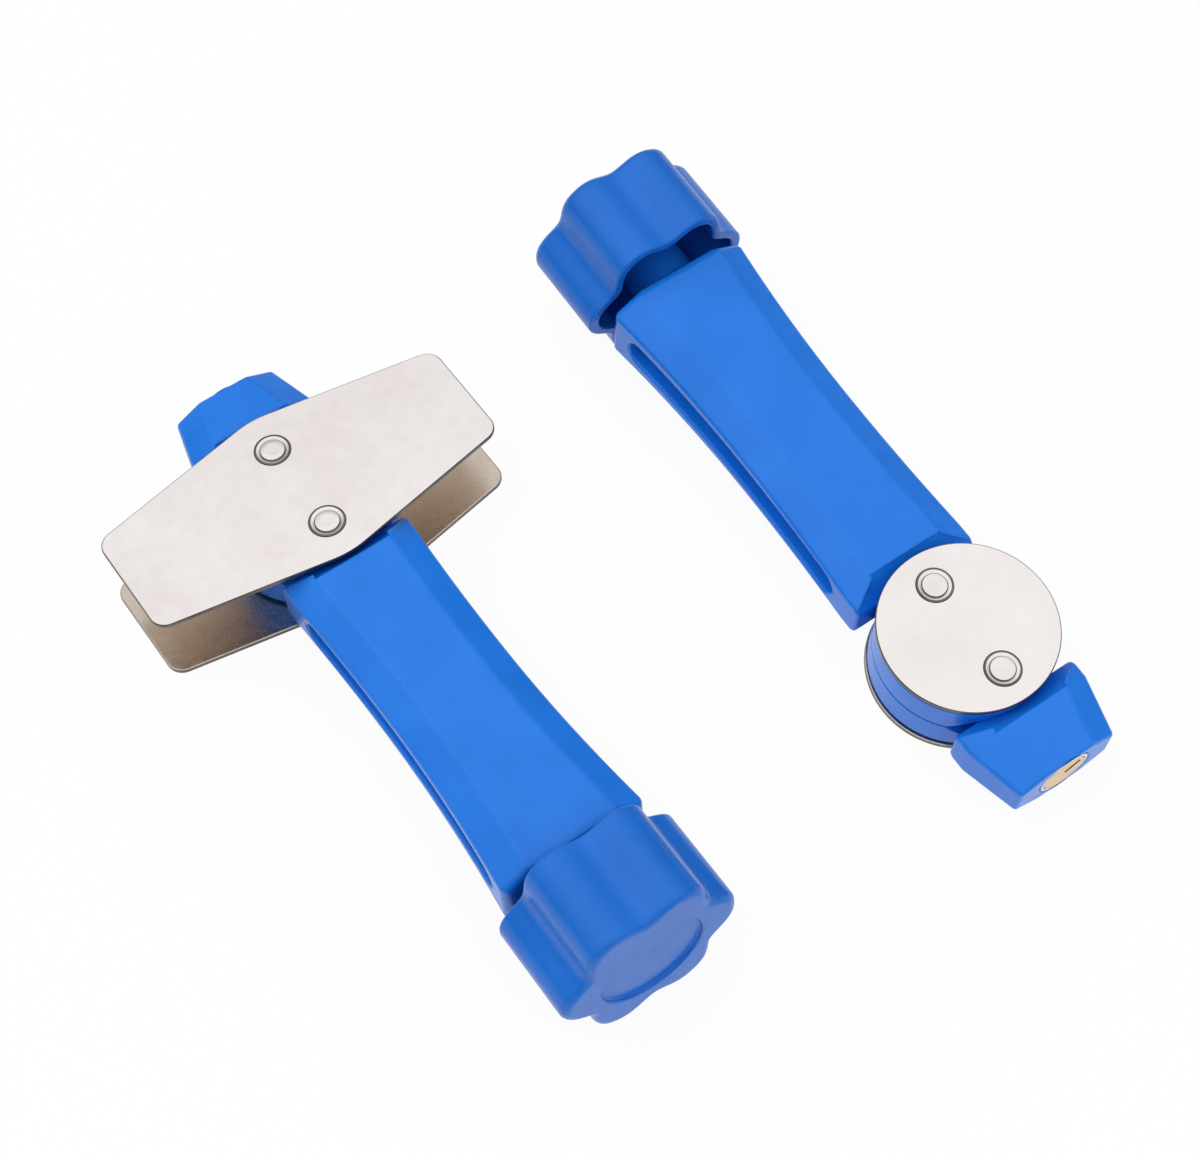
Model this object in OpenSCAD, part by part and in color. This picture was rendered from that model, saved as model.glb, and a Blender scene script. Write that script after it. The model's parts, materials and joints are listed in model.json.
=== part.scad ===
// A pair of expanding-wedge hand tools, one with oblong plates and one with round plates.
// Turning a star knob draws a bolt, and two wedges spread a split head. All sizes in mm.
// Each tool is modelled along its own axis: the head is centred on the origin, the knob lies
// towards -X, the end cap towards +X, and the split between the head halves is at z = 0.

/* [Head] */
// Diameter of the round plates
disc_d = 45; // [38:0.5:60]
// Diameter of the moulded core between the plates
core_d = 44; // [36:0.5:58]
// Thickness of a steel plate
plate_t = 1.5; // [0.8:0.1:2.5]
// Height of one core half
core_half_h = 9.9; // [9.8:0.1:13]
// Gap between the two core halves when the head is closed
split_gap = 0.6; // [0.2:0.1:1]
// Diameter of the round middle of an oblong plate
oblong_mid_d = 48.5; // [44:0.5:52]
// Overall length of an oblong plate
oblong_len = 99; // [70:1:120]
// Width of an oblong plate across each end
oblong_end_w = 32.5; // [22:0.5:38]
// Corner radius of an oblong plate
oblong_corner_r = 4.5; // [2:0.5:8]

/* [Handle] */
// Length of the grip from its front ridge to its back face
grip_len = 97; // [75:1:125]
// Grip width at the front ridge
grip_front_w = 36; // [30:0.5:42]
// Grip width at the waist
grip_waist_w = 33.5; // [28:0.5:38]
// Grip width at the back
grip_back_w = 39.5; // [34:0.5:43]
// Grip height at the front ridge
grip_front_h = 20; // [17:0.5:20]
// Grip height at the back
grip_back_h = 24; // [20:0.5:28]
// Width of each sloping bevel along the grip
bevel_w = 7.3; // [4:0.1:10]
// Height of each sloping bevel along the grip
bevel_h = 4.3; // [2:0.1:6]
// Chamfer around the back face
back_chamfer = 3; // [1:0.5:5]
// Height of the long pocket in each side
slot_h = 8; // [5:0.5:9]
// Solid web left between the two side pockets
slot_web = 11; // [9.5:0.5:16]
// Distance from the front ridge to the pocket
slot_front_margin = 5; // [4:0.5:12]
// Distance from the back face to the pocket
slot_back_margin = 7; // [6:0.5:14]

/* [Wedges] */
// Distance from a wedge ridge to the rim of the plates
ridge_gap = 2; // [1:0.1:4]
// Half height of a wedge's blunt tip
tip_half_h = 4.5; // [4:0.1:5.5]
// Running gap between a wedge and a core half, measured along the axis
slide_gap = 0.15; // [0.05:0.05:0.3]

/* [End cap] */
// Length of the cap from its ridge to its end face
cap_len = 15.5; // [12:0.5:24]
// Cap width at the ridge
cap_ridge_w = 36; // [30:0.5:42]
// Cap width at the end face
cap_end_w = 28.5; // [24:0.5:36]
// Cap height at the end face
cap_end_h = 16.5; // [15:0.1:19]
// Bevel height at the end face
cap_end_bevel_h = 3.4; // [1:0.1:5]
// Outer diameter of the metal ferrule in the end face
ferrule_d = 14.2; // [11:0.1:14.6]
// Depth of the ferrule
ferrule_depth = 5; // [4:0.5:8]
// Wall of the ferrule
ferrule_wall = 1; // [0.6:0.1:1.4]

/* [Draw bolt] */
// Bolt diameter
bolt_d = 6; // [5:0.5:6]
// Thickness of the bolt head
bolt_head_t = 3; // [2:0.5:4]
// Width of the screwdriver slot
driver_slot_w = 1.6; // [1:0.1:2]
// Depth of the screwdriver slot
driver_slot_depth = 1.3; // [0.8:0.1:1.8]
// Radial clearance of the bolt in the cores and the grip
bolt_clear = 0.4; // [0.2:0.1:0.6]
// Radial clearance of a turning or sliding fit
run_clear = 0.05; // [0.02:0.01:0.08]
// How far the bolt is drawn from closed to fully spread
draw_travel = 4; // [2:0.5:5]

/* [Knob] */
// Diameter over the lobes
knob_d = 49; // [44:0.5:54]
// Depth of a valley between lobes, as radius
valley_depth = 4.2; // [1:0.1:5]
// Length of the knob
knob_len = 26.6; // [20:0.5:32]
// Number of lobes
lobes = 6; // [6:2:8]
// Wall of the knob's skirt
knob_wall = 3; // [2:0.1:4]
// Thickness of the knob's web, behind the bolt
web_t = 5; // [4:0.5:8]
// Rounding at the outer end of the lobes
knob_round = 2.4; // [1:0.1:3.5]
// Diameter of the shallow recess in the end face
dish_d = 28; // [16:0.5:32]
// Depth of that recess
dish_depth = 1; // [0.5:0.1:1.5]
// Diameter of the hub inside the knob
hub_d = 17; // [15:0.5:22]
// Distance that the hub stands proud of the skirt
hub_proud = 2.2; // [0.5:0.1:6]
// Outer diameter of the threaded insert
insert_d = 10.5; // [9:0.5:12]
// Length of the threaded insert
insert_len = 15; // [10:0.5:16]
// Thickness of the thrust washer
washer_t = 1; // [0.5:0.1:2]
// Outer diameter of the thrust washer
washer_d = 15; // [12:0.5:18]

/* [Fasteners and magnets] */
// Distance between the two rivets of a plate
rivet_pitch = 26.5; // [20:0.5:28]
// Rivet head diameter
rivet_head_d = 9.2; // [7:0.1:11]
// Diameter of the flat recess in a rivet head
rivet_dish_d = 6.4; // [4:0.1:8]
// Height of a rivet head above the plate
rivet_proud = 0.3; // [0.2:0.1:0.8]
// Rivet shank diameter
rivet_shank_d = 4; // [3:0.1:5]
// Length of a rivet shank inside the core
rivet_grip = 4; // [2.5:0.1:4.5]
// Magnet diameter
magnet_d = 10; // [6:0.5:11]
// Magnet thickness
magnet_t = 3; // [2:0.5:5]
// Distance of a magnet from the tool's axis
magnet_y = 9.5; // [9:0.1:11]
// Guide pin diameter
pin_d = 3; // [2:0.1:4]
// Distance of a guide pin from the tool's axis
pin_y = 17.5; // [17:0.1:19]
// Length of a guide pin in each core half
pin_grip = 6.5; // [5:0.1:7]

/* [Layout of the pair] */
// Sideways distance between the two tools' axes
pair_gap_y = 111; // [95:1:150]
// Distance between the two heads along the tools
pair_gap_x = 125; // [100:1:180]

/* [Hidden] */

// A small overlap that makes every cut break cleanly through a surface
eps = 0.5;
// The head, measured from the tool's axis
disc_r = disc_d / 2;
oblong_mid_r = oblong_mid_d / 2;
plate_in_z = split_gap / 2 + core_half_h;
plate_out_z = plate_in_z + plate_t;
// The wedges: 45 degree faces from a ridge down to a blunt tip
ridge_x = disc_r + ridge_gap;
ridge_z = grip_front_h / 2;
wedge_x0 = ridge_x - ridge_z;
tip_x = wedge_x0 + tip_half_h;
// The grip, its pocket and what stands behind it
grip_back_x = ridge_x + grip_len;
waist_x = ridge_x + grip_len * 0.45;
slot_x0 = ridge_x + slot_front_margin;
slot_x1 = grip_back_x - slot_back_margin;
cap_end_x = ridge_x + cap_len;
hub_x = grip_back_x + washer_t + run_clear;
rim_x = hub_x + hub_proud;
knob_end_x = rim_x + knob_len;
web_x = knob_end_x - web_t;
knob_r = knob_d / 2;
// The bolt's two ends
bolt_end_x = hub_x + insert_len - draw_travel;
head_seat_x = cap_end_x - bolt_head_t;
shoulder_x = cap_end_x - ferrule_depth;
bolt_head_d = ferrule_d - 2 * ferrule_wall - 2 * run_clear;
bolt_hole_d = bolt_d + 2 * bolt_clear;
// Lobes lie at 0, 60, 120 degrees and so on, so two of them stand on the table
support_a = 180 / lobes;
support_r = max([for (a = [0:0.5:support_a]) lobe_r(a, 0) * cos(a - support_a)]);
// The pair is centred: the oblong plates reach furthest on one side, the knob on the other
tool_shift_y = (oblong_len / 2 - knob_r) / 2;

// Distance from the knob's axis to its outline, with the outline moved in by inset
function lobe_r(a, inset) = knob_r - valley_depth / 2 - inset + valley_depth / 2 * cos(lobes * a);

// How far a tool's plates reach along its axis
function reach(tool) = tool == "round" ? disc_r : oblong_mid_r;

// The tilt at which the knob's rim and the lower plate's far edge both touch the table
function tilt(tool) = atan2(support_r - plate_out_z, rim_x + reach(tool));

// The height of the head's centre above the table at that tilt
function axis_z(tool) = plate_out_z * cos(tilt(tool)) + reach(tool) * sin(tilt(tool));

// The outline of the knob
module lobed(inset) {
  polygon([for (i = [0:lobes * 16 - 1])
    let (a = i * 360 / (lobes * 16)) lobe_r(a, inset) * [cos(a), sin(a)]]);
}

// A round bar along X from x0 to x1
module bar(d, x0, x1, fn = 64) {
  translate([x0, 0, 0]) rotate([0, 90, 0]) cylinder(d = d, h = x1 - x0, $fn = fn);
}

// One eight-sided cross-section of the grip or the cap, as a thin slice at x
module slice(x, w, h, bw, bh) {
  s = 0.01;
  translate([x - s / 2, 0, 0]) rotate([90, 0, 90]) linear_extrude(s)
    polygon([
      [w / 2, h / 2 - bh], [w / 2 - bw, h / 2], [bw - w / 2, h / 2], [-w / 2, h / 2 - bh],
      [-w / 2, bh - h / 2], [bw - w / 2, -h / 2], [w / 2 - bw, -h / 2], [w / 2, bh - h / 2]
    ]);
}

// The room of the grip's wedge nose, between its two 45 degree faces
module nose_room() {
  rotate([90, 0, 0]) linear_extrude(disc_d * 2, center = true)
    polygon([
      [-tip_x, tip_half_h], [-ridge_x, ridge_z], [-ridge_x - eps, ridge_z],
      [-ridge_x - eps, -ridge_z], [-ridge_x, -ridge_z], [-tip_x, -tip_half_h]
    ]);
}

// Points along an arc about c, from angle a0 to a1
function arc(c, r, a0, a1, steps) =
  [for (i = [0:steps]) c + r * [cos(a0 + (a1 - a0) * i / steps), sin(a0 + (a1 - a0) * i / steps)]];

// The outline of an oblong plate: a disc's two sides, straight flanks and four round corners
module oblong_outline() {
  r = oblong_corner_r;
  cx = oblong_end_w / 2 - r;
  cy = oblong_len / 2 - r;
  n = atan2(cy, cx) - acos((oblong_mid_r - r) / norm([cx, cy]));
  polygon(concat(
    arc([0, 0], oblong_mid_r, -n, n, 16), arc([cx, cy], r, n, 90, 10),
    arc([-cx, cy], r, 90, 180 - n, 10), arc([0, 0], oblong_mid_r, 180 - n, 180 + n, 16),
    arc([-cx, -cy], r, 180 + n, 270, 10), arc([cx, -cy], r, 270, 360 - n, 10)
  ));
}

// The grip: four tapering lengths, a wedge nose, a pocket in each side and the bolt's bore
module handle() {
  mid_h = (grip_front_h + grip_back_h) / 2;
  cut_x = grip_back_x - back_chamfer;
  color("royalblue") difference() {
    union() {
      intersection() {
        hull() {
          slice(-ridge_x, grip_front_w, grip_front_h, bevel_w, bevel_h);
          slice(-tip_x, grip_front_w, grip_front_h, bevel_w, bevel_h);
        }
        nose_room();
      }
      hull() {
        slice(-ridge_x, grip_front_w, grip_front_h, bevel_w, bevel_h);
        slice(-waist_x, grip_waist_w, mid_h, bevel_w, bevel_h);
      }
      hull() {
        slice(-waist_x, grip_waist_w, mid_h, bevel_w, bevel_h);
        slice(-cut_x, grip_back_w, grip_back_h, bevel_w, bevel_h);
      }
      hull() {
        slice(-cut_x, grip_back_w, grip_back_h, bevel_w, bevel_h);
        slice(0.005 - grip_back_x, grip_back_w - 2 * back_chamfer,
          grip_back_h - back_chamfer, bevel_w, bevel_h);
      }
    }
    side_pocket();
    mirror([0, 1, 0]) side_pocket();
    bar(bolt_hole_d, -grip_back_x - eps, -tip_x + eps);
  }
}

// A long pocket with round ends in the +Y side of the grip
module side_pocket() {
  r = slot_h / 2;
  depth = grip_back_w;
  translate([0, slot_web / 2 + depth, 0]) rotate([90, 0, 0]) {
    for (x = [-slot_x0 - r, -slot_x1 + r])
      translate([x, 0, 0]) cylinder(r = r, h = depth, $fn = 48);
    translate([-slot_x1 + r, -r, 0]) cube([slot_x1 - slot_x0 - slot_h, slot_h, depth]);
  }
}

module thrust_washer() {
  color("silver") difference() {
    bar(washer_d, -grip_back_x - washer_t, -grip_back_x);
    bar(bolt_hole_d, -grip_back_x - washer_t - eps, -grip_back_x + eps);
  }
}

// The knob: a lobed cup, open towards the grip, with a hub for the threaded insert
module knob() {
  round_x = knob_end_x - knob_round;
  color("royalblue") difference() {
    union() {
      difference() {
        union() {
          translate([-rim_x, 0, 0]) rotate([0, -90, 0]) rotate([0, 0, 90])
            linear_extrude(knob_len - knob_round) lobed(0);
          translate([-round_x, 0, 0]) rotate([0, -90, 0]) rotate([0, 0, 90])
            linear_extrude(knob_round, scale = 1 - knob_round / knob_r) lobed(0);
        }
        translate([-rim_x + eps, 0, 0]) rotate([0, -90, 0]) rotate([0, 0, 90])
          linear_extrude(web_x - rim_x + eps) lobed(knob_wall);
      }
      bar(hub_d, -web_x - eps, -hub_x);
    }
    bar(insert_d, -hub_x - insert_len, -hub_x + eps);
    bar(bolt_hole_d, -hub_x - insert_len - draw_travel / 2, -hub_x);
    translate([-knob_end_x - eps, 0, 0]) bar(dish_d, 0, dish_depth + eps);
  }
}

module knob_insert() {
  color("goldenrod") difference() {
    bar(insert_d, -hub_x - insert_len, -hub_x);
    bar(bolt_d + 2 * run_clear, -hub_x - insert_len - eps, -hub_x + eps);
  }
}

// The end cap: a tapering eight-sided block with a wedge nose and a seat for the ferrule
module end_cap() {
  color("royalblue") difference() {
    union() {
      intersection() {
        hull() {
          slice(ridge_x, cap_ridge_w, grip_front_h, bevel_w, bevel_h);
          slice(tip_x, cap_ridge_w, grip_front_h, bevel_w, bevel_h);
        }
        mirror([1, 0, 0]) nose_room();
      }
      hull() {
        slice(ridge_x, cap_ridge_w, grip_front_h, bevel_w, bevel_h);
        slice(cap_end_x - 0.005, cap_end_w, cap_end_h, bevel_w, cap_end_bevel_h);
      }
    }
    bar(ferrule_d, shoulder_x, cap_end_x + eps);
    bar(bolt_hole_d, tip_x - eps, cap_end_x);
  }
}

module cap_ferrule() {
  color("silver") difference() {
    bar(ferrule_d, shoulder_x, cap_end_x);
    bar(ferrule_d - 2 * ferrule_wall, head_seat_x, cap_end_x + eps);
    bar(bolt_hole_d, shoulder_x - eps, cap_end_x);
  }
}

module draw_bolt() {
  color("goldenrod") difference() {
    union() {
      bar(bolt_d, -bolt_end_x, head_seat_x + eps);
      bar(bolt_head_d, head_seat_x, cap_end_x);
    }
    translate([cap_end_x - driver_slot_depth, -bolt_head_d, -driver_slot_w / 2])
      cube([driver_slot_depth + eps, 2 * bolt_head_d, driver_slot_w]);
  }
}

// The upper core half; the lower one is its mirror image without the sliding pin holes
module core_half(pin_hole_d, pin_hole_h) {
  color("royalblue") difference() {
    intersection() {
      translate([0, 0, split_gap / 2]) cylinder(d = core_d, h = core_half_h, $fn = 180);
      rotate([90, 0, 0]) linear_extrude(core_d + 2, center = true)
        polygon([
          [-wedge_x0 + slide_gap, 0], [-wedge_x0 - plate_out_z + slide_gap, plate_out_z],
          [wedge_x0 + plate_out_z - slide_gap, plate_out_z], [wedge_x0 - slide_gap, 0]
        ]);
    }
    bar(bolt_hole_d, -core_d, core_d);
    for (s = [-1, 1]) {
      translate([0, s * magnet_y, -eps]) cylinder(d = magnet_d, h = split_gap / 2 + magnet_t + eps);
      translate([0, s * pin_y, -eps]) cylinder(d = pin_hole_d, h = pin_hole_h + eps, $fn = 32);
      translate([s * rivet_pitch / 2, 0, plate_in_z - rivet_grip])
        cylinder(d = rivet_shank_d, h = rivet_grip + eps, $fn = 32);
    }
  }
}

// A steel plate on the upper core half, drilled for its rivets
module plate(oblong) {
  color("gainsboro") difference() {
    translate([0, 0, plate_in_z]) linear_extrude(plate_t) {
      if (oblong) oblong_outline();
      else circle(r = disc_r, $fn = 180);
    }
    for (s = [-1, 1])
      translate([s * rivet_pitch / 2, 0, plate_in_z - eps])
        cylinder(d = rivet_shank_d, h = plate_t + 2 * eps, $fn = 32);
  }
}

// Two rivets: a low ring-shaped head and a shank through the plate into the core
module rivets() {
  color("silver")
    for (s = [-1, 1])
      translate([s * rivet_pitch / 2, 0, 0]) difference() {
        union() {
          translate([0, 0, plate_in_z - rivet_grip])
            cylinder(d = rivet_shank_d, h = rivet_grip + plate_t + rivet_proud / 4, $fn = 32);
          translate([0, 0, plate_out_z]) cylinder(d = rivet_head_d, h = rivet_proud, $fn = 64);
        }
        translate([0, 0, plate_out_z + rivet_proud / 2])
          cylinder(d = rivet_dish_d, h = rivet_proud, $fn = 48);
      }
}

// Two disc magnets set flush in the split face
module magnets() {
  color("dimgray")
    for (s = [-1, 1])
      translate([0, s * magnet_y, split_gap / 2]) cylinder(d = magnet_d, h = magnet_t);
}

// Two pins that keep the core halves in line: fixed in the lower half, sliding in the upper
module guide_pins() {
  color("silver")
    for (s = [-1, 1])
      translate([0, s * pin_y, -pin_grip]) cylinder(d = pin_d, h = 2 * pin_grip, $fn = 32);
}

// Puts a tool on the table: tilted, lifted, and turned round for the oblong one
module place(tool) {
  s = tool == "round" ? 1 : -1;
  translate([s * pair_gap_x / 2, s * pair_gap_y / 2 + tool_shift_y, axis_z(tool)])
    rotate([0, 0, tool == "round" ? 0 : 180]) rotate([0, tilt(tool), 0]) children();
}

// Mirrors an upper piece to the lower half of the head
module lower() {
  mirror([0, 0, 1]) children();
}

// Draws one named piece of a tool
module piece(tool, name) {
  place(tool) {
    if (name == "handle") handle();
    if (name == "thrust_washer") thrust_washer();
    if (name == "knob") knob();
    if (name == "knob_insert") knob_insert();
    if (name == "end_cap") end_cap();
    if (name == "cap_ferrule") cap_ferrule();
    if (name == "draw_bolt") draw_bolt();
    if (name == "upper_core") core_half(pin_d + 2 * run_clear, split_gap / 2 + pin_grip);
    if (name == "lower_core") lower() core_half(pin_d, pin_grip);
    if (name == "upper_plate") plate(tool == "oblong");
    if (name == "lower_plate") lower() plate(tool == "oblong");
    if (name == "upper_rivets") rivets();
    if (name == "lower_rivets") lower() rivets();
    if (name == "upper_magnets") magnets();
    if (name == "lower_magnets") lower() magnets();
    if (name == "guide_pins") guide_pins();
  }
}

module oblong_handle() { piece("oblong", "handle"); }
module oblong_thrust_washer() { piece("oblong", "thrust_washer"); }
module oblong_knob() { piece("oblong", "knob"); }
module oblong_knob_insert() { piece("oblong", "knob_insert"); }
module oblong_end_cap() { piece("oblong", "end_cap"); }
module oblong_cap_ferrule() { piece("oblong", "cap_ferrule"); }
module oblong_draw_bolt() { piece("oblong", "draw_bolt"); }
module oblong_upper_core() { piece("oblong", "upper_core"); }
module oblong_upper_plate() { piece("oblong", "upper_plate"); }
module oblong_upper_rivets() { piece("oblong", "upper_rivets"); }
module oblong_upper_magnets() { piece("oblong", "upper_magnets"); }
module oblong_lower_core() { piece("oblong", "lower_core"); }
module oblong_lower_plate() { piece("oblong", "lower_plate"); }
module oblong_lower_rivets() { piece("oblong", "lower_rivets"); }
module oblong_lower_magnets() { piece("oblong", "lower_magnets"); }
module oblong_guide_pins() { piece("oblong", "guide_pins"); }
module round_handle() { piece("round", "handle"); }
module round_thrust_washer() { piece("round", "thrust_washer"); }
module round_knob() { piece("round", "knob"); }
module round_knob_insert() { piece("round", "knob_insert"); }
module round_end_cap() { piece("round", "end_cap"); }
module round_cap_ferrule() { piece("round", "cap_ferrule"); }
module round_draw_bolt() { piece("round", "draw_bolt"); }
module round_upper_core() { piece("round", "upper_core"); }
module round_upper_plate() { piece("round", "upper_plate"); }
module round_upper_rivets() { piece("round", "upper_rivets"); }
module round_upper_magnets() { piece("round", "upper_magnets"); }
module round_lower_core() { piece("round", "lower_core"); }
module round_lower_plate() { piece("round", "lower_plate"); }
module round_lower_rivets() { piece("round", "lower_rivets"); }
module round_lower_magnets() { piece("round", "lower_magnets"); }
module round_guide_pins() { piece("round", "guide_pins"); }

oblong_handle();
oblong_thrust_washer();
oblong_knob();
oblong_knob_insert();
oblong_end_cap();
oblong_cap_ferrule();
oblong_draw_bolt();
oblong_upper_core();
oblong_upper_plate();
oblong_upper_rivets();
oblong_upper_magnets();
oblong_lower_core();
oblong_lower_plate();
oblong_lower_rivets();
oblong_lower_magnets();
oblong_guide_pins();
round_handle();
round_thrust_washer();
round_knob();
round_knob_insert();
round_end_cap();
round_cap_ferrule();
round_draw_bolt();
round_upper_core();
round_upper_plate();
round_upper_rivets();
round_upper_magnets();
round_lower_core();
round_lower_plate();
round_lower_rivets();
round_lower_magnets();
round_guide_pins();
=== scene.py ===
import bpy, bmesh, json, math
from mathutils import Matrix, Vector


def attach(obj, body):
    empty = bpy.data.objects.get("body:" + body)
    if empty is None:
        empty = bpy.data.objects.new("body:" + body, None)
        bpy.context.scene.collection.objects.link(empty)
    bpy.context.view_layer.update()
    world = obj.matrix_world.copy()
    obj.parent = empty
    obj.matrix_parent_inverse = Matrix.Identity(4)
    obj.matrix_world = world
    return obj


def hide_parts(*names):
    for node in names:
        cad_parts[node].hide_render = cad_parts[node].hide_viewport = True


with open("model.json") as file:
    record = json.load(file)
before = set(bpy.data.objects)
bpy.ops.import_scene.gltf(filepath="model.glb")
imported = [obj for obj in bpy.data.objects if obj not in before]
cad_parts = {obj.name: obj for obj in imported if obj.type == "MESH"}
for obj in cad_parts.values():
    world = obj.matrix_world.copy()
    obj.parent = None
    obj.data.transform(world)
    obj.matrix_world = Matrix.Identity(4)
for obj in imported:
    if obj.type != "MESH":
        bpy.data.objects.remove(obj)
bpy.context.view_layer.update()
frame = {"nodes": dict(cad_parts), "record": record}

# ---------------------------------------------------------------- camera
CAM_AZ, CAM_EL, CAM_ROLL = 56.66, 61.33, -1.61
CAM_AT = (0.25086, -0.16103, 0.57080)
CAM_LENS = 76.7


def make_camera():
    az, el, roll = (math.radians(a) for a in (CAM_AZ, CAM_EL, CAM_ROLL))
    right = Vector((math.cos(az), math.sin(az), 0))
    away = Vector((-math.sin(az), math.cos(az), 0))
    look = away * math.cos(el) - Vector((0, 0, 1)) * math.sin(el)
    up = right.cross(look)
    turned = right * math.cos(roll) + up * math.sin(roll)
    up = up * math.cos(roll) - right * math.sin(roll)
    data = bpy.data.cameras.new("camera")
    data.sensor_width = 36
    data.lens = CAM_LENS
    data.clip_start, data.clip_end = 0.01, 20
    cam = bpy.data.objects.new("camera", data)
    bpy.context.scene.collection.objects.link(cam)
    axes = Matrix((turned, up, -look)).transposed()
    cam.matrix_world = Matrix.Translation(CAM_AT) @ axes.to_4x4()
    bpy.context.scene.camera = cam


make_camera()

# ---------------------------------------------------------------- sizes, in mm
MM = 0.001
DISC_R, OBLONG_MID_R, CORE_R = 22.5, 24.25, 22.0
PLATE_T, SPLIT_GAP, CORE_H = 1.5, 0.6, 9.9
OBLONG_LEN, OBLONG_END_W, OBLONG_CORNER_R = 99.0, 32.5, 4.5
GRIP_LEN, FRONT_W, WAIST_W, BACK_W = 97.0, 36.0, 33.5, 39.5
FRONT_H, BACK_H, BEVEL_W, BEVEL_H = 20.0, 24.0, 7.3, 4.3
BACK_CHAMFER, POCKET_H, POCKET_WEB, POCKET_FRONT, POCKET_BACK = 1.5, 8.0, 11.0, 5.0, 7.0
RIDGE_GAP, TIP_HALF_H, SLIDE_GAP = 2.0, 4.5, 0.15
CAP_LEN, CAP_RIDGE_W, CAP_END_W, CAP_END_H, CAP_END_BEVEL_H = 15.5, 36.0, 28.5, 16.5, 3.4
FERRULE_R, FERRULE_DEPTH, FERRULE_WALL = 7.1, 5.0, 1.0
BOLT_R, BOLT_HEAD_T, SLOT_W, SLOT_DEPTH, BOLT_CLEAR = 3.0, 3.0, 1.9, 2.2, 0.4
KNOB_R, VALLEY, KNOB_LEN, LOBES, KNOB_WALL, WEB_T, KNOB_ROUND = 24.5, 4.2, 26.6, 6, 3.0, 5.0, 2.4
DISH_R, DISH_DEPTH, HUB_R, HUB_PROUD, INSERT_R, INSERT_LEN = 14.0, 1.0, 8.5, 2.2, 5.25, 15.0
WASHER_T, RUN_CLEAR, DRAW = 1.0, 0.05, 4.0
RIVET_PITCH, RIVET_R, RIVET_HOLE_R, RIVET_SHANK_R = 26.5, 4.6, 4.5, 2.0
RIM_R, RIVET_BUTTON_R = 4.1, 3.1
CAP_MOUNT_Y = 10.7
PIN_R, PIN_Y, PIN_HOLE_TOP, MAGNET_R, MAGNET_Y, MAGNET_T = 1.5, 17.5, 6.9, 5.0, 9.5, 3.0
RIVET_SHANK_DEPTH, RIM_PROUD, BUTTON_PROUD, TROUGH_DEPTH, MARK_R = 4.0, 0.12, 0.16, 0.2, 1.2
CORE_NECK, CORE_RECESS = 1.6, 1.3
WAIST_AT, WAIST_STEPS = 0.45, 22
SLOT_FROM, SLOT_TO, SLOT_TURN, BOLT_TIP = 0.2, 4.9, 28, 0.6
VALLEY_POWER, KNOB_EASE, RIM_ROUND, KNOB_LIP = 1.35, 0.4, 0.7, 0.5
GRIP_ROUND, CAP_ROUND, CORE_ROUND, PLATE_ROUND, BOLT_ROUND = 0.9, 0.95, 0.35, 0.45, 0.12
PAST = 40  # how far a cutter runs past what it cuts

PLATE_IN = SPLIT_GAP / 2 + CORE_H
PLATE_OUT = PLATE_IN + PLATE_T
RIDGE_X = DISC_R + RIDGE_GAP
RIDGE_Z = FRONT_H / 2
WEDGE_X = RIDGE_X - RIDGE_Z
TIP_X = WEDGE_X + TIP_HALF_H
BACK_X = RIDGE_X + GRIP_LEN
CAP_END = RIDGE_X + CAP_LEN
HUB_X = BACK_X + WASHER_T + RUN_CLEAR
RIM_X = HUB_X + HUB_PROUD
KNOB_END = RIM_X + KNOB_LEN
TOOLS = ("oblong", "round")


def tool_matrix(tool):
    """From a tool's own axes, with its head at the origin and its cap towards +X, to the frame."""
    mount = next(m for m in frame["record"]["mounts"] if m["name"] == tool + "_cap_end_face")
    x = Vector(mount["axis"]).normalized()
    y = Vector((0, 1 if tool == "round" else -1, 0))
    at = Vector(mount["pos_m"]) - x * CAP_END * MM - y * CAP_MOUNT_Y * MM
    return Matrix.Translation(at) @ Matrix((x, y, x.cross(y))).transposed().to_4x4()


MATRIX = {tool: tool_matrix(tool) for tool in TOOLS}

# ---------------------------------------------------------------- mesh helpers


def new_object(name, verts, faces):
    mesh = bpy.data.meshes.new(name)
    mesh.from_pydata([Vector(v) * MM for v in verts], [], faces)
    bm = bmesh.new()
    bm.from_mesh(mesh)
    bmesh.ops.remove_doubles(bm, verts=bm.verts, dist=1e-7)
    bmesh.ops.recalc_face_normals(bm, faces=bm.faces)
    bm.to_mesh(mesh)
    bm.free()
    obj = bpy.data.objects.new(name, mesh)
    bpy.context.scene.collection.objects.link(obj)
    return obj


def loft(name, rings, closed=False):
    """A skin over rings of equally many points: capped at both ends, or closed from last to first."""
    n = len(rings[0])
    verts = [p for ring in rings for p in ring]
    spans = [(i, (i + 1) % len(rings)) for i in range(len(rings) if closed else len(rings) - 1)]
    faces = [(a * n + k, a * n + (k + 1) % n, b * n + (k + 1) % n, b * n + k)
             for a, b in spans for k in range(n)]
    if not closed:
        last = (len(rings) - 1) * n
        faces += [tuple(range(n)), tuple(range(last, last + n))]
    return new_object(name, verts, faces)


def around_x(name, profile, closed=False, steps=96):
    turns = [2 * math.pi * k / steps for k in range(steps)]
    return loft(name, [[(x, r * math.cos(t), r * math.sin(t)) for t in turns] for x, r in profile], closed)


def around_z(name, profile, cx=0, cy=0, steps=72):
    turns = [2 * math.pi * k / steps for k in range(steps)]
    return loft(name, [[(cx + r * math.cos(t), cy + r * math.sin(t), z) for t in turns]
                       for r, z in profile])


def prism_y(name, outline, half):
    """An outline in X and Z, drawn out along Y."""
    return loft(name, [[(x, side * half, z) for x, z in outline] for side in (-1, 1)])


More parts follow.
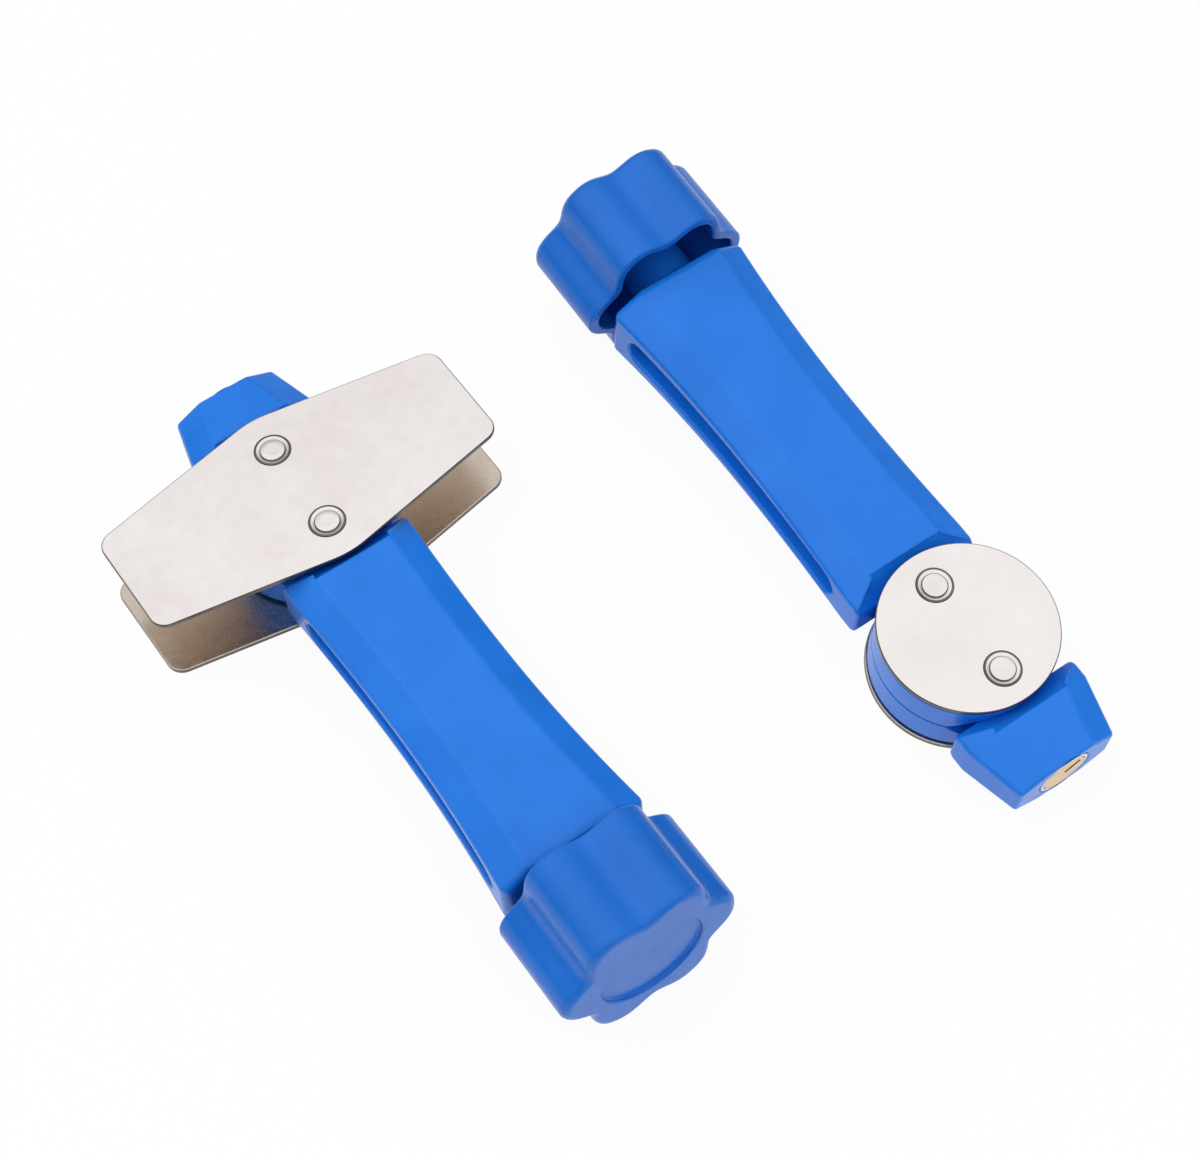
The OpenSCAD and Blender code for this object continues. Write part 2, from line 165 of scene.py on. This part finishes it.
def cut(obj, cutter, operation="DIFFERENCE"):
    mod = obj.modifiers.new("cut", "BOOLEAN")
    mod.operation, mod.object, mod.solver = operation, cutter, "EXACT"
    bake(obj)
    bpy.data.objects.remove(cutter)
    return obj


def bake(obj):
    bpy.context.view_layer.update()
    mesh = bpy.data.meshes.new_from_object(obj.evaluated_get(bpy.context.evaluated_depsgraph_get()))
    obj.modifiers.clear()
    obj.data = mesh


def soften(obj, width, segments=3, angle=26):
    """Rounds the sharp edges, as a mould does."""
    bm = bmesh.new()
    bm.from_mesh(obj.data)
    bmesh.ops.dissolve_limit(bm, angle_limit=math.radians(0.05), verts=bm.verts, edges=bm.edges)
    bm.to_mesh(obj.data)
    bm.free()
    mod = obj.modifiers.new("round", "BEVEL")
    mod.width, mod.segments = width * MM, segments
    mod.limit_method, mod.angle_limit = "ANGLE", math.radians(angle)
    mod.use_clamp_overlap = True
    mod.miter_outer = "MITER_ARC"
    bake(obj)
    return obj


def finish_piece(obj, tool, body, node, material, lower=False, sharp=50):
    matrix = MATRIX[tool] @ (Matrix.Scale(-1, 4, (0, 0, 1)) if lower else Matrix.Identity(4))
    obj.data.transform(matrix)
    if lower:
        obj.data.flip_normals()
    obj.data.polygons.foreach_set("use_smooth", [True] * len(obj.data.polygons))
    obj.data.set_sharp_from_angle(angle=math.radians(sharp))
    mod = obj.modifiers.new("normals", "WEIGHTED_NORMAL")
    mod.keep_sharp, mod.weight = True, 60
    obj.data.materials.clear()
    obj.data.materials.append(material)
    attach(obj, body)
    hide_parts(node)
    return obj


# ---------------------------------------------------------------- materials


def start_material(name, **sockets):
    mat = bpy.data.materials.new(name)
    mat.use_nodes = True
    tree = mat.node_tree
    shader = tree.nodes["Principled BSDF"]
    for key, value in sockets.items():
        shader.inputs[key.replace("_", " ")].default_value = value
    place = tree.nodes.new("ShaderNodeTexCoord").outputs["Object"]
    return mat, tree, shader, place


def noise(tree, place, scale, detail=2.0, rough=0.5, stretch=None):
    if stretch:
        mapping = tree.nodes.new("ShaderNodeMapping")
        mapping.inputs["Scale"].default_value = stretch
        tree.links.new(place, mapping.inputs["Vector"])
        place = mapping.outputs["Vector"]
    tex = tree.nodes.new("ShaderNodeTexNoise")
    tex.inputs["Scale"].default_value = scale
    tex.inputs["Detail"].default_value = detail
    tex.inputs["Roughness"].default_value = rough
    tree.links.new(place, tex.inputs["Vector"])
    return tex.outputs["Fac"]


def spread(tree, value, low, high, near=0.3, far=0.7):
    ranged = tree.nodes.new("ShaderNodeMapRange")
    for key, number in (("From Min", near), ("From Max", far), ("To Min", low), ("To Max", high)):
        ranged.inputs[key].default_value = number
    tree.links.new(value, ranged.inputs["Value"])
    return ranged.outputs["Result"]


def tint(tree, value, dark, light):
    mix = tree.nodes.new("ShaderNodeMix")
    mix.data_type = "RGBA"
    mix.inputs["A"].default_value = (*dark, 1)
    mix.inputs["B"].default_value = (*light, 1)
    tree.links.new(value, mix.inputs["Factor"])
    return mix.outputs["Result"]


def bump(tree, shader, *layers):
    """Adds layers of (height, strength, depth in mm) to the shader's normal."""
    normal = None
    for height, strength, depth in layers:
        step = tree.nodes.new("ShaderNodeBump")
        step.inputs["Strength"].default_value = strength
        step.inputs["Distance"].default_value = depth * MM
        tree.links.new(height, step.inputs["Height"])
        if normal:
            tree.links.new(normal, step.inputs["Normal"])
        normal = step.outputs["Normal"]
    tree.links.new(normal, shader.inputs["Normal"])


def blue_plastic(name, dark, light):
    mat, tree, shader, place = start_material(name, IOR=1.38)
    cloud = spread(tree, noise(tree, place, 60, 3), 0, 1)
    tree.links.new(tint(tree, cloud, dark, light), shader.inputs["Base Color"])
    tree.links.new(spread(tree, noise(tree, place, 260, 4), 0.22, 0.31), shader.inputs["Roughness"])
    bump(tree, shader, (noise(tree, place, 1300, 2), 0.06, 0.08), (noise(tree, place, 90, 2), 0.12, 0.3))
    return mat


def nickel_plate():
    mat, tree, shader, place = start_material("nickel_plate", Metallic=1.0)
    cloud = spread(tree, noise(tree, place, 45, 3), 0, 1)
    tree.links.new(tint(tree, cloud, (0.85, 0.79, 0.78), (0.91, 0.87, 0.86)), shader.inputs["Base Color"])
    tree.links.new(spread(tree, noise(tree, place, 300, 4), 0.16, 0.26), shader.inputs["Roughness"])
    grain = noise(tree, place, 700, 3, stretch=(1, 0.12, 1))
    bump(tree, shader, (grain, 0.05, 0.05), (noise(tree, place, 50, 1), 0.12, 0.4))
    return mat


def plain_metal(name, dark, light, rough, scale=900):
    mat, tree, shader, place = start_material(name, Metallic=1.0)
    cloud = spread(tree, noise(tree, place, scale / 6, 3), 0, 1)
    tree.links.new(tint(tree, cloud, dark, light), shader.inputs["Base Color"])
    blur = spread(tree, noise(tree, place, scale / 3, 3), rough, rough + 0.1)
    tree.links.new(blur, shader.inputs["Roughness"])
    bump(tree, shader, (noise(tree, place, scale, 2), 0.08, 0.06))
    return mat


MATERIAL = {
    "slot_shadow": plain_metal("slot_shadow", (0.02, 0.018, 0.015), (0.05, 0.045, 0.04), 0.5),
    # painted reflection: a dark metal on the plates' rounded edges, standing in for the dark surroundings
    # they reflect
    "plate_edge_dark_reflection": plain_metal("plate_edge_dark_reflection", (0.10, 0.09, 0.085), (0.22, 0.20, 0.19), 0.30),
    # painted reflection and shade: a warmer, dimmer metal for the plates' inner faces, between the plates
    "plate_inner_reflection": plain_metal("plate_inner_reflection", (0.62, 0.53, 0.45), (0.68, 0.59, 0.51), 0.22, 1500),
    # painted shade and dark reflection: a dark metal for the steep flanks and rings of the rivet heads
    "rivet_painted_shade": plain_metal("rivet_painted_shade", (0.12, 0.11, 0.10), (0.22, 0.20, 0.19), 0.25),
    "blue_plastic": blue_plastic("blue_plastic", (0.006, 0.165, 0.690), (0.010, 0.190, 0.760)),
    # painted shade: a darker copy of the blue plastic, so that the knobs look darker than the rest of the
    # tool
    "shaded_knob_plastic": blue_plastic("shaded_knob_plastic", (0.004, 0.130, 0.560), (0.007, 0.150, 0.630)),
    "nickel_plate": nickel_plate(),
    "rivet_steel": plain_metal("rivet_steel", (0.80, 0.77, 0.76), (0.90, 0.87, 0.86), 0.16),
    "bright_steel": plain_metal("bright_steel", (0.66, 0.65, 0.64), (0.78, 0.77, 0.76), 0.24),
    "brass": plain_metal("brass", (0.80, 0.55, 0.30), (0.90, 0.68, 0.42), 0.30),
    "magnet": plain_metal("magnet", (0.42, 0.42, 0.43), (0.52, 0.52, 0.53), 0.34),
}

# ---------------------------------------------------------------- pieces of a tool


def octagon(x, w, h, bw, bh):
    a, b, c, d = w / 2, w / 2 - bw, h / 2 - bh, h / 2
    return [(x, a, c), (x, b, d), (x, -b, d), (x, -a, c), (x, -a, -c), (x, -b, -d), (x, b, -d), (x, a, -c)]


def trim_nose(obj, side):
    """Cuts the two 45 degree wedge faces on the side towards the head."""
    far, top = WEDGE_X - 2, RIDGE_Z + 6
    for s in (-1, 1):
        outline = [(side * x, s * z) for x, z in
                   ((far, far - WEDGE_X), (WEDGE_X + top, top), (far, top))]
        cut(obj, prism_y("trim", outline, 60))
    return obj


def grip_width(x):
    """A smooth waist between the widths at the ridge and at the back."""
    t = (x - RIDGE_X) / (GRIP_LEN - BACK_CHAMFER)
    t = min(max(t, 0), 1)
    if t < WAIST_AT:
        k = 1 - t / WAIST_AT
        return WAIST_W + (FRONT_W - WAIST_W) * k * k
    k = (t - WAIST_AT) / (1 - WAIST_AT)
    return WAIST_W + (BACK_W - WAIST_W) * k * k


def grip_height(x):
    t = min(max((x - RIDGE_X) / (GRIP_LEN - BACK_CHAMFER), 0), 1)
    return FRONT_H + (BACK_H - FRONT_H) * t


def handle(tool):
    cut_x = BACK_X - BACK_CHAMFER
    rings = [octagon(-TIP_X, FRONT_W, FRONT_H, BEVEL_W, BEVEL_H)]
    for i in range(WAIST_STEPS + 1):
        x = RIDGE_X + (cut_x - RIDGE_X) * i / WAIST_STEPS
        rings.append(octagon(-x, grip_width(x), grip_height(x), BEVEL_W, BEVEL_H))
    rings.append(octagon(-BACK_X, BACK_W - 2 * BACK_CHAMFER, BACK_H - BACK_CHAMFER, BEVEL_W, BEVEL_H))
    obj = trim_nose(loft("grip", rings), -1)
    r = POCKET_H / 2
    a, b = RIDGE_X + POCKET_FRONT + r, BACK_X - POCKET_BACK - r
    turns = [math.pi * k / 24 for k in range(25)]
    outline = [(-b - r * math.sin(t), r * math.cos(t)) for t in turns]
    outline += [(-a + r * math.sin(t), -r * math.cos(t)) for t in turns]
    for s in (-1, 1):
        rings = [[(x, s * y, z) for x, z in outline] for y in (POCKET_WEB / 2, PAST)]
        cut(obj, loft("pocket", rings))
    bore_r = BOLT_R + BOLT_CLEAR
    cut(obj, around_x("bore", [(-BACK_X - 1, bore_r), (-TIP_X + 1, bore_r)], steps=48))
    soften(obj, GRIP_ROUND)
    finish_piece(obj, tool, "grips", tool + "_handle", MATERIAL["blue_plastic"])
    obj.name = tool + "_grip"


def lobe(angle, inset):
    """The CAD outline with narrower valleys, and made smaller so that it stays inside the CAD box."""
    return KNOB_R - KNOB_EASE - inset - VALLEY * (0.5 - 0.5 * math.cos(LOBES * angle)) ** VALLEY_POWER


def lobed_ring(x, inset, round_share=0.0, radius=0.0, steps=192):
    """A ring of the knob: its lobed outline, blended towards a circle of the given radius."""
    ring = []
    for k in range(steps):
        t = 2 * math.pi * k / steps
        r = lobe(t, inset) * (1 - round_share) + radius * round_share
        ring.append((-x, r * math.cos(t), r * math.sin(t)))
    return ring


def arc_steps(count, start=0.0, end=math.pi / 2):
    return [start + (end - start) * i / count for i in range(count + 1)]


def knob(tool):
    rim, lip, web = RIM_ROUND, KNOB_LIP, KNOB_END - WEB_T
    bore_r, bore_end = BOLT_R + BOLT_CLEAR, HUB_X + INSERT_LEN + DRAW / 2
    # inside: the blind bore, the insert's seat, the hub, the web and the skirt's inner wall
    rings = [lobed_ring(x, 0, 1, r) for x, r in
             ((bore_end, bore_r), (HUB_X + INSERT_LEN, bore_r), (HUB_X + INSERT_LEN, INSERT_R),
              (HUB_X, INSERT_R), (HUB_X, HUB_R - lip), (HUB_X + lip, HUB_R),
              (web - 1, HUB_R), (web, HUB_R + 1))]
    rings += [lobed_ring(web, KNOB_WALL + 1), lobed_ring(web - 1, KNOB_WALL)]
    # the rim, from inside to outside
    for t in arc_steps(5):
        rings.append(lobed_ring(RIM_X + rim - rim * math.sin(t), KNOB_WALL - rim + rim * math.cos(t)))
    for t in arc_steps(5):
        rings.append(lobed_ring(RIM_X + rim - rim * math.cos(t), rim - rim * math.sin(t)))
    # the outer wall and the rounded outer end
    rings.append(lobed_ring((RIM_X + KNOB_END) / 2, 0))
    for t in arc_steps(9):
        rings.append(lobed_ring(KNOB_END - KNOB_ROUND + KNOB_ROUND * math.sin(t),
                                KNOB_ROUND - KNOB_ROUND * math.cos(t)))
    # the end face and its dish
    rings.append(lobed_ring(KNOB_END, KNOB_ROUND, 0.5, DISH_R + lip))
    rings.append(lobed_ring(KNOB_END, KNOB_ROUND, 1, DISH_R + lip))
    for t in arc_steps(4):
        rings.append(lobed_ring(KNOB_END - lip + lip * math.cos(t), 0, 1, DISH_R + lip - lip * math.sin(t)))
    for t in arc_steps(4):
        rings.append(lobed_ring(KNOB_END - DISH_DEPTH + lip - lip * math.sin(t), 0, 1,
                                DISH_R - lip + lip * math.cos(t)))
    obj = loft(tool + "_star_knob", rings)
    # the knob gets the darker copy of the blue plastic, which is painted shade
    finish_piece(obj, tool, tool + "_knob_unit", tool + "_knob", MATERIAL["shaded_knob_plastic"],
                 sharp=40)


def end_cap(tool):
    rings = [octagon(TIP_X, CAP_RIDGE_W, FRONT_H, BEVEL_W, BEVEL_H),
             octagon(RIDGE_X, CAP_RIDGE_W, FRONT_H, BEVEL_W, BEVEL_H),
             octagon(CAP_END, CAP_END_W, CAP_END_H, BEVEL_W, CAP_END_BEVEL_H)]
    obj = trim_nose(loft("cap", rings), 1)
    cut(obj, around_x("seat", [(CAP_END - FERRULE_DEPTH, FERRULE_R), (CAP_END + 1, FERRULE_R)]))
    bore_r = BOLT_R + BOLT_CLEAR
    cut(obj, around_x("bore", [(TIP_X - 1, bore_r), (CAP_END - FERRULE_DEPTH + 1, bore_r)], steps=48))
    soften(obj, CAP_ROUND, 4)
    finish_piece(obj, tool, tool + "_cap_unit", tool + "_end_cap", MATERIAL["blue_plastic"])
    obj.name = tool + "_wedge_cap"


def ferrule(tool):
    e, inner = 0.25, FERRULE_R - FERRULE_WALL
    seat, low, bore_r = CAP_END - BOLT_HEAD_T, CAP_END - FERRULE_DEPTH, BOLT_R + BOLT_CLEAR
    profile = [(low, FERRULE_R), (CAP_END - e, FERRULE_R), (CAP_END - e * 0.3, FERRULE_R - e * 0.3),
               (CAP_END, FERRULE_R - e), (CAP_END, inner + e), (CAP_END - e * 0.3, inner + e * 0.3),
               (CAP_END - e, inner), (seat, inner), (seat, bore_r), (low, bore_r)]
    obj = around_x(tool + "_ferrule", profile, closed=True)
    finish_piece(obj, tool, tool + "_cap_unit", tool + "_cap_ferrule",
                 MATERIAL["bright_steel"], sharp=35)


def draw_bolt(tool):
    head_r, e = FERRULE_R - FERRULE_WALL - 2 * RUN_CLEAR, 0.35
    end, seat = -(HUB_X + INSERT_LEN - DRAW), CAP_END - BOLT_HEAD_T
    profile = [(end, BOLT_R - BOLT_TIP), (end + BOLT_TIP, BOLT_R), (seat, BOLT_R), (seat, head_r),
               (CAP_END - e, head_r), (CAP_END - e * 0.3, head_r - e * 0.3), (CAP_END, head_r - e)]
    obj = around_x("bolt", profile)
    w, floor = SLOT_W / 2, CAP_END - SLOT_DEPTH
    corners = ((floor, -w), (CAP_END + 1, -w), (CAP_END + 1, w), (floor, w))
    slot = loft("slot", [[(x, y, z) for x, z in corners]
                         for y in (SLOT_FROM, SLOT_TO)])
    slot.data.transform(Matrix.Rotation(math.radians(SLOT_TURN), 4, "X"))
    cut(obj, slot)
    soften(obj, BOLT_ROUND, 2, 60)
    inner = [f.index for f in obj.data.polygons
             if floor * MM - 1e-5 < f.center.x < (CAP_END - BOLT_ROUND - 0.02) * MM
             and math.hypot(f.center.y, f.center.z) < (head_r - 0.3) * MM]
    finish_piece(obj, tool, tool + "_cap_unit", tool + "_draw_bolt", MATERIAL["brass"], sharp=35)
    obj.data.materials.append(MATERIAL["slot_shadow"])
    for index in inner:
        obj.data.polygons[index].material_index = 1
    obj.name = tool + "_bolt"


def core_half(tool, side):
    lower = side == "lower"
    neck, recess = CORE_R - CORE_NECK, PLATE_IN - CORE_RECESS
    profile = [(CORE_R, SPLIT_GAP / 2), (CORE_R, recess), (neck, recess), (neck, PLATE_IN)]
    obj = around_z("core", profile, steps=144)
    top = PLATE_OUT
    reach = WEDGE_X - SLIDE_GAP
    wedge = [(-reach, 0), (reach, 0), (reach + top, top), (-reach - top, top)]
    cut(obj, prism_y("wedge", wedge, PAST), "INTERSECT")
    bore_r = BOLT_R + BOLT_CLEAR
    cut(obj, around_x("bore", [(-PAST, bore_r), (PAST, bore_r)], steps=48))
    for s in (-1, 1):
        seat = [(MAGNET_R, -1), (MAGNET_R, SPLIT_GAP / 2 + MAGNET_T)]
        cut(obj, around_z("magnet_seat", seat, 0, s * MAGNET_Y))
        hole_r = PIN_R if lower else PIN_R + RUN_CLEAR
        cut(obj, around_z("pin_hole", [(hole_r, -1), (hole_r, PIN_HOLE_TOP)], 0, s * PIN_Y, steps=32))
        hole = [(RIVET_SHANK_R, PLATE_IN - RIVET_SHANK_DEPTH), (RIVET_SHANK_R, PLATE_IN + 1)]
        cut(obj, around_z("rivet_hole", hole, s * RIVET_PITCH / 2, 0, steps=48))
    soften(obj, CORE_ROUND, 2, 40)
    finish_piece(obj, tool, f"{tool}_{side}_head", f"{tool}_{side}_core",
                 MATERIAL["blue_plastic"], lower)
    obj.name = f"{tool}_{side}_wedge_core"


def arc_points(cx, cy, r, a0, a1, steps):
    return [(cx + r * math.cos(math.radians(a0 + (a1 - a0) * i / steps)),
             cy + r * math.sin(math.radians(a0 + (a1 - a0) * i / steps))) for i in range(steps + 1)]


def plate_outline(tool):
    if tool == "round":
        return arc_points(0, 0, DISC_R, 0, 360, 144)[:-1]
    r, mid = OBLONG_CORNER_R, OBLONG_MID_R
    cx, cy = OBLONG_END_W / 2 - r, OBLONG_LEN / 2 - r
    n = math.degrees(math.atan2(cy, cx) - math.acos((mid - r) / math.hypot(cx, cy)))
    return (arc_points(0, 0, mid, -n, n, 16) + arc_points(cx, cy, r, n, 90, 12)
            + arc_points(-cx, cy, r, 90, 180 - n, 12) + arc_points(0, 0, mid, 180 - n, 180 + n, 16)
            + arc_points(-cx, -cy, r, 180 + n, 270, 12) + arc_points(cx, -cy, r, 270, 360 - n, 12))


def plate(tool, side):
    outline = plate_outline(tool)
    obj = loft("plate", [[(x, y, z) for x, y in outline] for z in (PLATE_IN, PLATE_OUT)])
    for s in (-1, 1):
        cut(obj, around_z("hole", [(RIVET_HOLE_R, PLATE_IN - 1), (RIVET_HOLE_R, PLATE_OUT + 1)],
                          s * RIVET_PITCH / 2, 0))
    soften(obj, PLATE_ROUND, 3, 60)
    middle = (PLATE_IN + PLATE_OUT) / 2 * MM
    zones = [0 if f.center.z > middle and f.normal.z > 0.93 else 2 if f.normal.z < -0.5 else 1
             for f in obj.data.polygons]
    finish_piece(obj, tool, f"{tool}_{side}_head", f"{tool}_{side}_plate",
                 MATERIAL["nickel_plate"], side == "lower")
    # the rounded edges get the painted dark reflection
    obj.data.materials.append(MATERIAL["plate_edge_dark_reflection"])
    # the inner faces get the painted brownish reflection and shade
    obj.data.materials.append(MATERIAL["plate_inner_reflection"])
    obj.data.polygons.foreach_set("material_index", zones)
    obj.name = f"{tool}_{side}_steel_plate"


def rivets(tool, side):
    parts = []
    rim, trough, button = PLATE_OUT + RIM_PROUD, PLATE_OUT - TROUGH_DEPTH, PLATE_OUT + BUTTON_PROUD
    # a rim, a trough and a flat button, drawn outwards to inwards over the plate
    for s in (-1, 1):
        profile = [(RIVET_SHANK_R, PLATE_IN - RIVET_SHANK_DEPTH), (RIVET_SHANK_R, PLATE_IN),
                   (RIVET_HOLE_R, PLATE_IN),
                   (RIVET_HOLE_R, PLATE_OUT - 0.1), (RIVET_R, PLATE_OUT - 0.1), (RIVET_R, PLATE_OUT + 0.02),
                   (RIM_R, rim), (RIM_R - 0.1, rim), (RIVET_BUTTON_R + 0.35, trough + 0.02),
                   (RIVET_BUTTON_R + 0.25, trough), (RIVET_BUTTON_R, button - 0.04),
                   (RIVET_BUTTON_R - 0.1, button), (MARK_R, button), (MARK_R - 0.2, button - 0.03)]
        parts.append(around_z("rivet", profile, s * RIVET_PITCH / 2, 0))
    # the rings and steep flanks of each rivet head get painted shade and dark reflection
    shade_bands = ((RIM_R, RIVET_R), (RIVET_BUTTON_R, RIVET_BUTTON_R + 0.25))
    with bpy.context.temp_override(active_object=parts[0], selected_editable_objects=parts):
        bpy.ops.object.join()
    obj = parts[0]
    shaded_faces = []
    for f in obj.data.polygons:
        r = math.hypot(abs(f.center.x) / MM - RIVET_PITCH / 2, f.center.y / MM)
        shaded_faces.append(int(any(low < r < high for low, high in shade_bands) or abs(f.normal.z) < 0.5))
    finish_piece(obj, tool, f"{tool}_{side}_head", f"{tool}_{side}_rivets",
                 MATERIAL["rivet_steel"], side == "lower", sharp=60)
    obj.data.materials.append(MATERIAL["rivet_painted_shade"])
    obj.data.polygons.foreach_set("material_index", shaded_faces)
    obj.name = f"{tool}_{side}_rivet_heads"


for tool in TOOLS:
    handle(tool)
    knob(tool)
    end_cap(tool)
    ferrule(tool)
    draw_bolt(tool)
    for side in ("upper", "lower"):
        core_half(tool, side)
        plate(tool, side)
        rivets(tool, side)
    kept = {"thrust_washer": "bright_steel", "knob_insert": "brass", "guide_pins": "bright_steel",
            "upper_magnets": "magnet", "lower_magnets": "magnet"}
    for node, slot in kept.items():
        mesh = frame["nodes"][f"{tool}_{node}"].data
        mesh.materials.clear()
        mesh.materials.append(MATERIAL[slot])

# ---------------------------------------------------------------- stage and light


def camera_white(tree, reflected):
    """One for rays from the camera, the given share for glossy and transmitted rays, zero for the rest."""
    path = tree.nodes.new("ShaderNodeLightPath")
    largest = path.outputs["Is Camera Ray"]
    for name in ("Is Glossy Ray", "Is Transmission Ray"):
        share = tree.nodes.new("ShaderNodeMath")
        share.operation = "MULTIPLY"
        share.inputs[1].default_value = reflected
        tree.links.new(path.outputs[name], share.inputs[0])
        step = tree.nodes.new("ShaderNodeMath")
        step.operation = "MAXIMUM"
        tree.links.new(largest, step.inputs[0])
        tree.links.new(share.outputs[0], step.inputs[1])
        largest = step.outputs[0]
    return largest


def make_floor():
    mesh = bpy.data.meshes.new("floor")
    s = 3.0
    mesh.from_pydata([(-s, -s, 0), (s, -s, 0), (s, s, 0), (-s, s, 0)], [], [(0, 1, 2, 3)])
    floor = bpy.data.objects.new("floor", mesh)
    bpy.context.scene.collection.objects.link(floor)
    mat = bpy.data.materials.new("floor")
    mat.use_nodes = True
    tree = mat.node_tree
    out = tree.nodes["Material Output"]
    diffuse = tree.nodes.new("ShaderNodeBsdfDiffuse")
    diffuse.inputs["Color"].default_value = (0.9, 0.9, 0.9, 1)
    glow = tree.nodes.new("ShaderNodeEmission")
    glow.inputs["Color"].default_value = (1, 1, 1, 1)
    glow.inputs["Strength"].default_value = 1.0
    share = tree.nodes.new("ShaderNodeMath")
    share.operation = "MULTIPLY"
    share.inputs[1].default_value = 0.93
    tree.links.new(camera_white(tree, 0.8), share.inputs[0])
    mix = tree.nodes.new("ShaderNodeMixShader")
    tree.links.new(share.outputs[0], mix.inputs[0])
    tree.links.new(diffuse.outputs[0], mix.inputs[1])
    tree.links.new(glow.outputs[0], mix.inputs[2])
    tree.links.new(mix.outputs[0], out.inputs["Surface"])
    mesh.materials.append(mat)


def make_world():
    """White for the camera. Other rays see a soft box: white overhead, dimmer and warmer at the horizon."""
    world = bpy.data.worlds.new("world")
    bpy.context.scene.world = world
    world.use_nodes = True
    tree = world.node_tree
    back = tree.nodes["Background"]
    back.inputs["Strength"].default_value = 1.0
    place = tree.nodes.new("ShaderNodeTexCoord").outputs["Generated"]
    split = tree.nodes.new("ShaderNodeSeparateXYZ")
    tree.links.new(place, split.inputs[0])
    ramp = tree.nodes.new("ShaderNodeValToRGB")
    stops = ramp.color_ramp.elements
    stops[0].position, stops[0].color = 0.02, (0.12, 0.10, 0.09, 1)
    stops[1].position, stops[1].color = 0.78, (1, 1, 1, 1)
    stops.new(0.45).color = (0.42, 0.40, 0.39, 1)
    tree.links.new(split.outputs["Z"], ramp.inputs["Fac"])
    mix = tree.nodes.new("ShaderNodeMix")
    mix.data_type = "RGBA"
    mix.inputs["B"].default_value = (1, 1, 1, 1)
    path = tree.nodes.new("ShaderNodeLightPath")
    tree.links.new(path.outputs["Is Camera Ray"], mix.inputs["Factor"])
    tree.links.new(ramp.outputs["Color"], mix.inputs["A"])
    tree.links.new(mix.outputs["Result"], back.inputs["Color"])


def lamp(name, at, aim, size, watts):
    data = bpy.data.lights.new(name, "AREA")
    data.shape, data.size, data.size_y, data.energy = "RECTANGLE", size, size, watts
    obj = bpy.data.objects.new(name, data)
    obj.location = at
    obj.rotation_euler = (Vector(aim) - Vector(at)).to_track_quat("-Z", "Y").to_euler()
    obj.visible_glossy = False  # the plates show the white surroundings and no blown-out lamps
    bpy.context.scene.collection.objects.link(obj)


make_floor()
make_world()
lamp("key", (-0.75, -0.75, 1.25), (0, 0, 0), 1.9, 12)
lamp("fill", (0.95, 0.35, 0.6), (0, 0, 0.02), 0.95, 3)
bpy.context.scene.view_settings.view_transform = "Standard"
